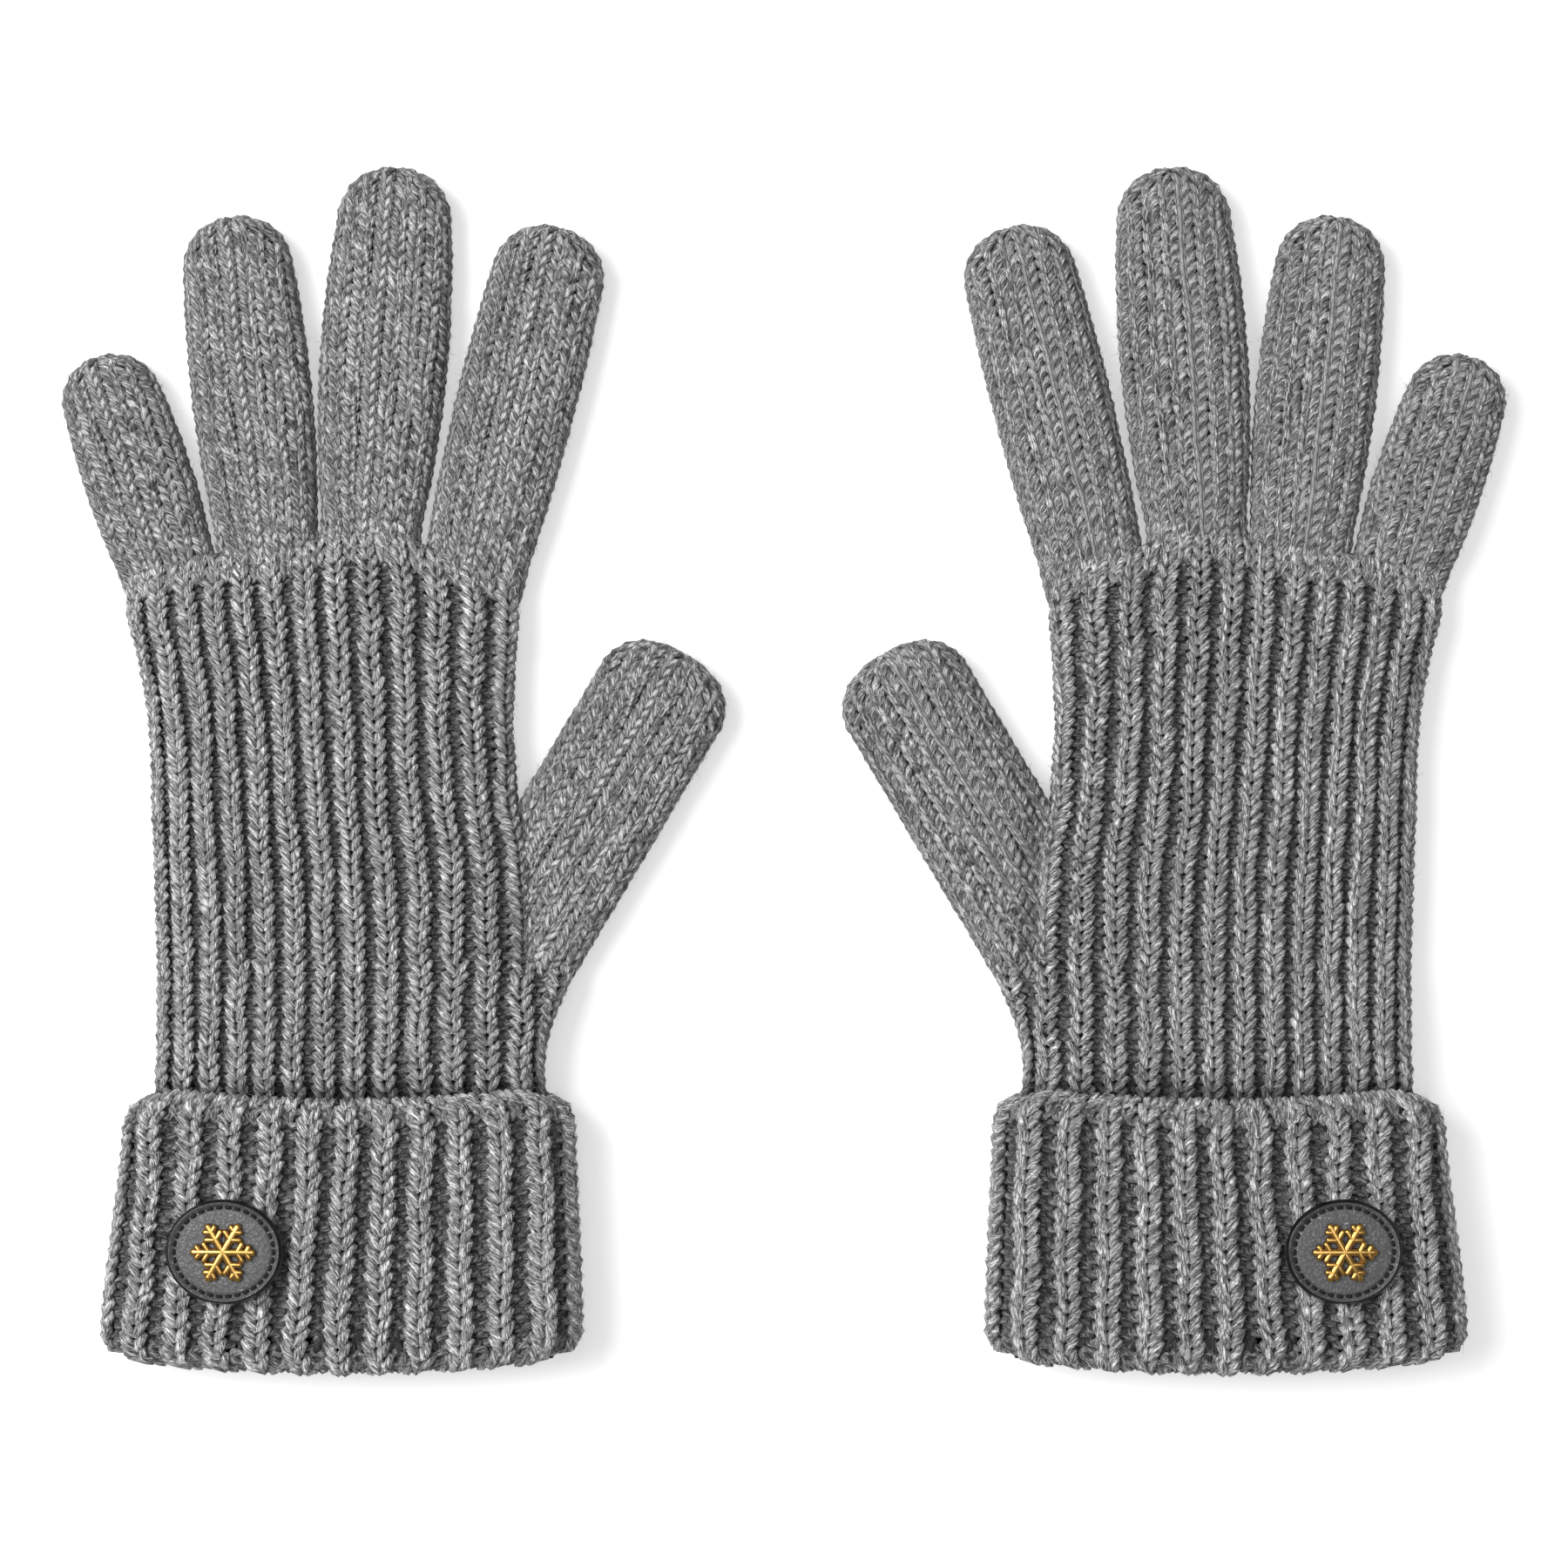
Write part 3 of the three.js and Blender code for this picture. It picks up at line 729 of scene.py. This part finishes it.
def fibre_group():
    """Fibres laid along a plied yarn.

    The way round the yarn is turned steadily along it, and noise is read on the cylinder
    (cos, sin, length), stretched along the length, so that the streaks have no seam.
    """
    group, inside, outside = new_group(
        "plied fibres",
        [
            ("Yarn", "NodeSocketVector", None),
            ("Dark", "NodeSocketColor", (0.05, 0.05, 0.05, 1)),
            ("Middle", "NodeSocketColor", (0.2, 0.2, 0.2, 1)),
            ("Light", "NodeSocketColor", (0.5, 0.5, 0.5, 1)),
            ("Twist", "NodeSocketFloat", 0.09),
        ],
        [("Color", "NodeSocketColor"), ("Height", "NodeSocketFloat")],
    )
    apart = group.nodes.new("ShaderNodeSeparateXYZ")
    group.links.new(inside.outputs["Yarn"], apart.inputs[0])
    length, around = apart.outputs[0], apart.outputs[1]
    twisted = math_node(group, "ADD", around, math_node(group, "MULTIPLY", length, inside.outputs["Twist"]))
    angle = math_node(group, "MULTIPLY", twisted, TURN)
    cos, sin = math_node(group, "COSINE", angle), math_node(group, "SINE", angle)

    def streaks(girth, stretch, detail):
        place = group.nodes.new("ShaderNodeCombineXYZ")
        for socket, value in zip(place.inputs, ((cos, girth), (sin, girth), (length, stretch))):
            group.links.new(math_node(group, "MULTIPLY", *value), socket)
        return noise_node(group, place.outputs[0], 1, detail, 0.6)

    broad, fine = streaks(1.5, 0.55, 2), streaks(5.0, 0.85, 2)
    mixed = math_node(group, "MULTIPLY", fine, 0.6)
    mixed = math_node(group, "ADD", math_node(group, "MULTIPLY", broad, 0.4), mixed)
    shade = range_node(group, mixed, 0.39, 0.61)
    low = math_node(group, "MULTIPLY", shade, 2, clamp=True)
    high = math_node(group, "SUBTRACT", math_node(group, "MULTIPLY", shade, 2), 1, clamp=True)
    dark = mix_node(group, low, inside.outputs["Dark"], inside.outputs["Middle"])
    group.links.new(mix_node(group, high, dark, inside.outputs["Light"]), outside.inputs["Color"])
    plies = math_node(group, "ABSOLUTE", math_node(group, "SINE", angle))
    plies = math_node(group, "MULTIPLY", plies, 0.3)
    height = math_node(group, "ADD", math_node(group, "MULTIPLY", fine, 1.6), plies)
    group.links.new(height, outside.inputs["Height"])
    return group


FIBRES = fibre_group()


def new_material(name, roughness, **settings):
    """A material, its nodes, its shader, and each point's place on the object."""
    material = bpy.data.materials.new(name)
    material.use_nodes = True
    tree = material.node_tree
    shader = tree.nodes["Principled BSDF"]
    shader.inputs["Roughness"].default_value = roughness
    for label, value in settings.items():
        shader.inputs[label.replace("_", " ")].default_value = value
    place = tree.nodes.new("ShaderNodeTexCoord").outputs["Object"]
    return material, tree, shader, place


def add_bump(tree, shader, height, distance):
    """Fine relief in the shading, distance metres for each unit of height."""
    bump = tree.nodes.new("ShaderNodeBump")
    bump.inputs["Strength"].default_value = 1.0
    bump.inputs["Distance"].default_value = distance
    tree.links.new(height, bump.inputs["Height"])
    tree.links.new(bump.outputs[0], shader.inputs["Normal"])


def height_of(tree):
    """How high the surface lies at a point, in millimetres, as the mesh keeps it; on the wool it is lowered
    where there is painted shade.
    """
    node = tree.nodes.new("ShaderNodeAttribute")
    node.attribute_name = "height"
    return node.outputs["Fac"]


def wool(name, dark, middle, light):
    """Heathered wool: streaks, patches and flecks of dark and light, with painted shade where the yarn lies
    deep.
    """
    material, tree, shader, place = new_material(
        name, 0.95, Specular_IOR_Level=0.15, Sheen_Weight=0.12, Sheen_Roughness=0.5
    )
    uv = tree.nodes.new("ShaderNodeUVMap")
    uv.uv_map = "yarn"
    fibres = tree.nodes.new("ShaderNodeGroup")
    fibres.node_tree = FIBRES
    for label, colour in (("Dark", dark), ("Middle", middle), ("Light", light)):
        fibres.inputs[label].default_value = (*colour, 1)
    tree.links.new(uv.outputs[0], fibres.inputs["Yarn"])
    patches = range_node(tree, noise_node(tree, place, 330), 0.3, 0.7, 0.76, 1.24)
    flecks = range_node(tree, noise_node(tree, place, 2600, 3, 0.65), 0.36, 0.64, 0.82, 1.18)
    # painted shade: the colour is darker where the height attribute says the yarn lies deep
    depth = range_node(tree, height_of(tree), -1.5, 1.0, 0.12, 1.12)
    tint_and_shade = math_node(tree, "MULTIPLY", math_node(tree, "MULTIPLY", patches, flecks), depth)
    colour = mix_node(tree, 1.0, fibres.outputs["Color"], tint_and_shade, "MULTIPLY")
    tree.links.new(colour, shader.inputs["Base Color"])
    add_bump(tree, shader, fibres.outputs["Height"], 0.0003)
    return material


WOOL = wool("grey wool", (0.03, 0.03, 0.032), (0.25, 0.25, 0.255), (0.82, 0.82, 0.825))


def leather(name, colour):
    """Grained leather: rounded pebbles with creases between them, and sparse pale specks."""
    material, tree, shader, place = new_material(name, 0.42, Specular_IOR_Level=0.5)
    cells = tree.nodes.new("ShaderNodeTexVoronoi")
    cells.inputs["Scale"].default_value = 1500
    tree.links.new(place, cells.inputs["Vector"])
    pebble = math_node(tree, "SUBTRACT", 1, cells.outputs["Distance"])
    rough = noise_node(tree, place, 900, 3)
    height = math_node(tree, "ADD", pebble, math_node(tree, "MULTIPLY", rough, 0.7))
    rubbed = range_node(tree, height, 0.8, 1.3)
    dark = tuple(0.6 * c for c in colour)
    grain = mix_node(tree, rubbed, (*dark, 1), (*colour, 1))
    specks = range_node(tree, noise_node(tree, place, 1900, 2), 0.64, 0.76)
    pale = tuple(3.0 * c for c in colour)
    tree.links.new(mix_node(tree, specks, grain, (*pale, 1)), shader.inputs["Base Color"])
    tree.links.new(range_node(tree, height, 0.8, 1.3, 0.6, 0.34), shader.inputs["Roughness"])
    add_bump(tree, shader, height, 0.00012)
    return material


def edge_paint():
    """The glossy paint on the leather's cut edge, with a little wear."""
    material, tree, shader, place = new_material("black edge paint", 0.25, Specular_IOR_Level=0.3)
    wear = noise_node(tree, place, 700, 3)
    rubbed = range_node(tree, wear, 0.45, 0.75)
    colour = mix_node(tree, rubbed, (0.002, 0.002, 0.002, 1), (0.012, 0.012, 0.0125, 1))
    tree.links.new(colour, shader.inputs["Base Color"])
    add_bump(tree, shader, wear, 0.00005)
    return material


def thread(name, colour):
    """Sewing thread, with fine dark streaks."""
    material, tree, shader, place = new_material(name, 0.7, Specular_IOR_Level=0.3)
    streak = noise_node(tree, place, 4500, 2)
    dark = tuple(0.35 * c for c in colour)
    mixed = mix_node(tree, range_node(tree, streak, 0.4, 0.62), (*dark, 1), (*colour, 1))
    tree.links.new(mixed, shader.inputs["Base Color"])
    add_bump(tree, shader, streak, 0.00006)
    return material


def brass():
    """Antique brass: bright where it is rubbed, brown in the hollows and low on its sides."""
    material, tree, shader, place = new_material("antique brass", 0.3, Metallic=1.0)
    tarnish = noise_node(tree, place, 600, 4, 0.6)
    low = range_node(tree, height_of(tree), 0.45, 1.05)
    rubbed = math_node(tree, "ADD", low, range_node(tree, tarnish, 0.3, 0.7, -0.25, 0.2), clamp=True)
    colour = mix_node(tree, rubbed, (0.045, 0.023, 0.009, 1), (0.52, 0.30, 0.085, 1))
    tree.links.new(colour, shader.inputs["Base Color"])
    tree.links.new(range_node(tree, rubbed, 0, 1, 0.55, 0.24), shader.inputs["Roughness"])
    add_bump(tree, shader, tarnish, 0.00003)
    return material


LEATHER = leather("dark grey grained leather", (0.115, 0.115, 0.12))
# the backing pad is partly real leather backing and partly painted shade: it is dark so that it reads as the
# shadow under the patch
BACKING_WITH_SHADE = leather("leather backing", (0.05, 0.05, 0.052))
EDGE_PAINT = edge_paint()
THREAD = thread("black thread", (0.014, 0.014, 0.0145))
BRASS = brass()


# ---- the patch and its emblem ----
PATCH_TILT = math.radians(2.2)
PATCH_HALF = (12.0, 10.7)
PATCH_TOP = 2.3  # from the patch's origin up to the middle of the leather
STITCH_RING = 0.85  # where the stitches run, as a share of the way out to the edge
STITCHES = 34
THREAD_RADIUS = 0.35
PAINTED_ROWS = 14  # how many rows of the leather's profile, from its end, are edge paint
leather_top = eased(
    [
        (0, 1.42), (0.4, 1.40), (0.72, 1.30), (0.80, 1.16), (0.85, 0.84),
        (0.90, 1.2), (0.93, 1.5), (0.955, 1.5), (0.98, 1.2), (1.0, 0.6),
    ]
)


def on_patch(points, side):
    """From millimetres on the patch to metres in the pair: tilted with the cuff, where the CAD patch is."""
    name = "left_patch_leather" if side < 0 else "right_patch_leather"
    low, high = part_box(name)
    middle = (np.array(low) + np.array(high)) / 2
    x, y, z = np.moveaxis(points - (0, 0, PATCH_TOP), -1, 0)
    cos, sin = math.cos(PATCH_TILT), math.sin(PATCH_TILT)
    turned = np.stack([side * (x * cos + z * sin), y, z * cos - x * sin], -1)
    return turned * MM + middle


def grid_mesh(name, grids, side, inks=None):
    """One mesh from grids of points, each closed round its second direction.

    The height above the emblem's foot is kept for the metal.
    """
    points, faces, heights, count = [], [], [], 0
    for grid in grids:
        n, m = grid.shape[:2]
        i, k = np.arange(n - 1)[:, None], np.arange(m)[None]
        here, beside = i * m + k, i * m + (k + 1) % m
        quad = np.stack(np.broadcast_arrays(here, beside, beside + m, here + m), -1)
        faces.append(quad.reshape(-1, 4) + count)
        points.append(on_patch(grid, side).reshape(-1, 3))
        heights.append(grid[..., 2].ravel())
        count += n * m
    mesh = bpy.data.meshes.new(name)
    mesh.from_pydata(np.concatenate(points).tolist(), [], np.concatenate(faces).tolist())
    height = mesh.attributes.new("height", "FLOAT", "POINT")
    height.data.foreach_set("value", (np.concatenate(heights) - EMBLEM_LOW).astype(np.float32))
    if inks is not None:
        mesh.polygons.foreach_set("material_index", inks)
    mesh.polygons.foreach_set("use_smooth", np.ones(len(mesh.polygons), bool))
    working = bmesh.new()
    working.from_mesh(mesh)
    bmesh.ops.remove_doubles(working, verts=working.verts, dist=2e-6)
    bmesh.ops.recalc_face_normals(working, faces=working.faces)
    working.to_mesh(mesh)
    working.free()
    mesh.update()
    return mesh


LEATHER_LOW = 1.7  # heights on the patch, of the leather's underside and the emblem's
EMBLEM_LOW = 3.15
EMBLEM_HALF = 0.6  # half the thickness of the snowflake's bars


def oval_grid(out, up, count):
    """A profile carried round the patch's oval.

    At angle phi, x = half width * out * cos phi, y = half height * out * sin phi and z = up.
    """
    phi = np.linspace(0, TURN, count, endpoint=False)
    x = PATCH_HALF[0] * out[:, None] * np.cos(phi)
    y = PATCH_HALF[1] * out[:, None] * np.sin(phi)
    return np.stack([x, y, np.repeat(up[:, None], count, 1)], -1)


def leather_grid():
    """The leather: over the top, round the edge and back underneath."""
    top = [[0], np.linspace(0.03, 0.7, 24), np.linspace(0.715, 1.0, 34)]
    below = [(1.0, 0.25), (0.985, 0.05), (0.96, 0), (0.5, 0), (0, 0)]
    out = np.concatenate([*top, [p for p, q in below]])
    up = np.concatenate([leather_top(out[: -len(below)]), [q for p, q in below]])
    return oval_grid(out, LEATHER_LOW + up, 128)


def pad_grid():
    """The backing pad: straight sides, from just inside the knitting up to the leather."""
    out = np.array([0, 0.5, 0.86, 0.9, 0.9, 0.86, 0.5, 0])
    up = np.array([1.75, 1.75, 1.75, 1.7, -1.0, -1.1, -1.1, -1.1])
    return oval_grid(out, up, 96)


def bar_grid(start, end, radius, flatness=1.0):
    """A straight bar, whose radius falls to nothing at its two ends as a quarter circle does."""
    start, end = np.array(start, float), np.array(end, float)
    ahead = end - start
    length = np.linalg.norm(ahead)
    ahead = ahead / length
    turn = np.linspace(-math.pi / 2, 0, 5)
    cap = radius * np.sin(turn)
    s = np.concatenate([cap, length - cap[::-1]])
    r = radius * np.concatenate([np.cos(turn), np.cos(turn[::-1])])
    up = np.array((0.0, 0.0, 1.0)) if abs(ahead[2]) < 0.9 else np.array((1.0, 0.0, 0.0))
    across = np.cross(ahead, up)
    phi = np.linspace(0, TURN, 12, endpoint=False)
    ring = np.cos(phi)[:, None] * across + flatness * np.sin(phi)[:, None] * up
    return start + s[:, None, None] * ahead + r[:, None, None] * ring


def snowflake_grids():
    """Six arms with two pairs of branches each, a round boss, and two prongs through the leather."""
    middle = EMBLEM_LOW + EMBLEM_HALF
    grids = []
    reach, branches = 5.9, ((2.9, 1.9), (4.7, 1.2))  # an arm's length, and its branches' (root, length)
    for turn in np.arange(6) * TURN / 6:
        out = np.array((math.cos(turn), math.sin(turn), 0))
        grids.append(bar_grid((0, 0, middle), out * reach + (0, 0, middle), 0.86, 0.7))
        for root, length in branches:
            for lean in (-1, 1):
                beside = np.array((math.cos(turn + lean * TURN / 6), math.sin(turn + lean * TURN / 6), 0))
                base = out * root + (0, 0, middle)
                grids.append(bar_grid(base, base + beside * length, 0.68, 0.85))
    boss = bar_grid((0, 0, middle - 0.1), (0, 0, middle + 0.05), 1.7, 1.0)
    grids.append(boss * (1, 1, 0.3) + (0, 0, middle * 0.7))
    for x in (-3, 3):
        grids.append(bar_grid((x, 0, 0.3), (x, 0, middle), 0.5))
    return grids


def stitch_grids():
    """Short stitches in the ring, each one arched over the leather from hole to hole.

    For q from -1 to 1 along one, its middle falls by arch * q^2 and it thins as sqrt(1 - q^6).
    """
    q = np.linspace(-1, 1, 7)
    half_length, arch = 0.36, 0.5  # a stitch's half length as a share of its space, and its rise
    grids = []
    for number in range(STITCHES):
        phi = TURN * (number + half_length * q) / STITCHES
        centre = np.stack(
            [
                PATCH_HALF[0] * STITCH_RING * np.cos(phi),
                PATCH_HALF[1] * STITCH_RING * np.sin(phi),
                LEATHER_LOW + leather_top(STITCH_RING) + 0.34 - arch * q**2,
            ],
            -1,
        )
        radius = THREAD_RADIUS * np.sqrt(np.maximum(1 - q**6, 0))
        up = np.repeat([[0.0, 0.0, 1.0]], 7, 0)
        grids.append(rings(centre, np.gradient(centre, axis=0), up, radius, radius, 6))
    return grids


def make_patch(side_name, side):
    """The leather oval with its painted edge, the pad under it, the stitches and the emblem."""
    def finished(name, grids, material, replaced, slot, inks=None):
        piece = place(grid_mesh(name, grids, side, inks), name, material)
        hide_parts(replaced)
        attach(piece, f"{side_name}_cuff")
        return piece

    oval = leather_grid()
    painted = np.repeat(np.arange(len(oval) - 1) > len(oval) - PAINTED_ROWS, oval.shape[1]).astype(np.int32)
    leather_name, replaced = f"{side_name}_leather_oval", f"{side_name}_patch_leather"
    piece = finished(leather_name, [oval], LEATHER, replaced, "leather", painted)
    piece.data.materials.append(EDGE_PAINT)
    # the pad under the leather, dark as painted shade beneath the patch
    finished(f"{side_name}_patch_pad", [pad_grid()], BACKING_WITH_SHADE, f"{side_name}_patch_backing", "backing")
    finished(f"{side_name}_patch_stitches", stitch_grids(), THREAD, f"{side_name}_patch_thread", "thread")
    finished(f"{side_name}_snowflake", snowflake_grids(), BRASS, f"{side_name}_emblem", "brass")


# ---- the knitted pieces of one glove ----
def knit_glove(side_name, side):
    """The knitted pieces of the right glove (side 1) or the left (-1), each attached to its body or left
    unattached.
    """
    palm = hand_skin(palm_inner, 80, KNUCKLES + 3)
    heel = hand_skin(heel_inner, 3, 88)
    cuff = cuff_skin()
    lower_ribs = heel_ribs(heel, palm.girth_at(HEEL_TOP))

    def finished(cloth, part, nodes, body=None):
        name = f"{side_name}_{part}"
        piece = place(cloth.mesh(name, side), name, WOOL)
        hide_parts(*[f"{side_name}_{n}" for n in nodes])
        if body:
            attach(piece, f"{side_name}_{body}")
        return piece

    def at(x, y, z):
        return (side * x * MM, (y - GLOVE_LENGTH / 2) * MM, z * MM)

    cloth = Cloth(11)
    rib(cloth, heel, spaced(7, 54, HIDDEN_ROW), HIDDEN_RIB, lower_ribs, HAND_SHARE)
    cloth.lining(heel, np.linspace(5, 55, 24), *RIB_LINING)
    finished(cloth, "wrist_ribs", ["wrist"], "cuff")

    cloth = Cloth(12)
    rib(cloth, heel, spaced(56.3, 84.5, RIB_ROW), RIB, lower_ribs, HAND_SHARE)
    cloth.lining(heel, np.linspace(54.5, 85, 24), *RIB_LINING)
    cloth.fuzz(heel, 58, 85, 750, 0.6)
    piece = finished(cloth, "heel_ribs", ["hand"])
    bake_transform(piece)

    def fade(v):
        return float(smooth_step(KNUCKLES - 3.5, KNUCKLES, v))

    # the palm is two pieces, to keep each one's mesh small
    for part, low, high in (("palm_ribs", 86.85, 126.8), ("knuckle_ribs", 129.15, KNUCKLES + 1.6)):
        cloth = Cloth(13)
        rib(cloth, palm, spaced(low, high, RIB_ROW), RIB, hand_ribs, HAND_SHARE, fade)
        cloth.lining(palm, np.linspace(low - 1.5, min(high + 1.5, KNUCKLES + 1.8), 30), *RIB_LINING)
        cloth.fuzz(palm, low, high, 950, 0.6)
        finished(cloth, part, ["hand"], "hand")

    end = cuff.along[-1]
    fold_middle = 8.9  # where the cuff's skin is half way round its fold

    def edge_fade(v):
        at_fold = 0.85 * float(np.exp(-(((v - fold_middle) / 3.2) ** 2)))
        return max(at_fold, float(smooth_step(end - 6.5, end - 2.5, v)))

    cloth = Cloth(15)
    rib(cloth, cuff, spaced(2.5, end - 1.4, CUFF_ROW), CUFF_RIB, even_ribs, CUFF_SHARE, edge_fade)
    cloth.lining(cuff, np.linspace(0.5, end - 1.5, 60), *CUFF_LINING)
    cloth.fuzz(cuff, 12, end, 1400, 0.7)
    finished(cloth, "cuff_ribs", ["cuff"], "cuff")

    for number, (finger, (base, tip, half)) in enumerate(FINGERS.items()):
        skin = finger_skin(base, tip, half)
        cloth = Cloth(20 + number)
        end = skin.along[-1]
        plain(cloth, skin, spaced(3.2, end - 1.2, PLAIN_ROW), skin.along[STRAIGHT_ROWS - 1])
        cloth.lining(skin, np.linspace(0.5, end - 0.3, 40), *PLAIN_LINING)
        cloth.fuzz(skin, 3, end - 1, 550, 0.6)
        piece = finished(cloth, f"{finger}_knit", [f"{finger}_finger"])
        base, tip = np.array(base), np.array(tip)
        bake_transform(piece)

    skin = thumb_skin()
    cloth = Cloth(30)
    end = skin.along[-1]
    plain(cloth, skin, spaced(2, end - 1.2, PLAIN_ROW), skin.along[THUMB_ROWS - 1])
    cloth.lining(skin, np.linspace(0.5, end - 0.3, 40), *PLAIN_LINING)
    cloth.fuzz(skin, 25, end - 1, 550, 0.6)
    piece = finished(cloth, "thumb_knit", ["thumb"])
    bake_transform(piece)


def finish_washer(side_name):
    """The washer keeps its CAD shape and gets its real finish."""
    washer = bpy.data.objects[f"{side_name}_emblem_washer"]
    washer.data.materials.clear()
    washer.data.materials.append(BRASS)


for side_name, side in PAIR:
    knit_glove(side_name, side)
    make_patch(side_name, side)
    finish_washer(side_name)


# ---- floor and light ----
def add_stage():
    """A pale floor, wide enough to fill the view."""
    mesh = bpy.data.meshes.new("floor")
    reach = 3.0
    corners = [(-reach, -reach, 0), (reach, -reach, 0), (reach, reach, 0), (-reach, reach, 0)]
    mesh.from_pydata(corners, [], [(0, 1, 2, 3)])
    pale = (0.72, 0.72, 0.72, 1)
    material = new_material(
        "pale floor", 0.9, Base_Color=pale, Emission_Color=(1, 1, 1, 1), Emission_Strength=0.42
    )[0]
    floor = place(mesh, "floor", material)


def add_light(name, size, power, position):
    """A square light that faces the middle of the pair."""
    data = bpy.data.lights.new(name, "AREA")
    data.size = size
    data.energy = power
    light = bpy.data.objects.new(name, data)
    light.location = position
    light.rotation_euler = Vector(position).to_track_quat("Z", "Y").to_euler()
    bpy.context.scene.collection.objects.link(light)


add_stage()
add_light("key light", 0.8, 24, (-0.8, 0.3, 1.25))
add_light("top light", 1.2, 11, (0.1, 0.1, 1.9))
world = bpy.data.worlds.new("studio")
bpy.context.scene.world = world
world.use_nodes = True
world.node_tree.nodes["Background"].inputs["Color"].default_value = (1, 1, 1, 1)
world.node_tree.nodes["Background"].inputs["Strength"].default_value = 0.24
bpy.context.scene.view_settings.view_transform = "Standard"
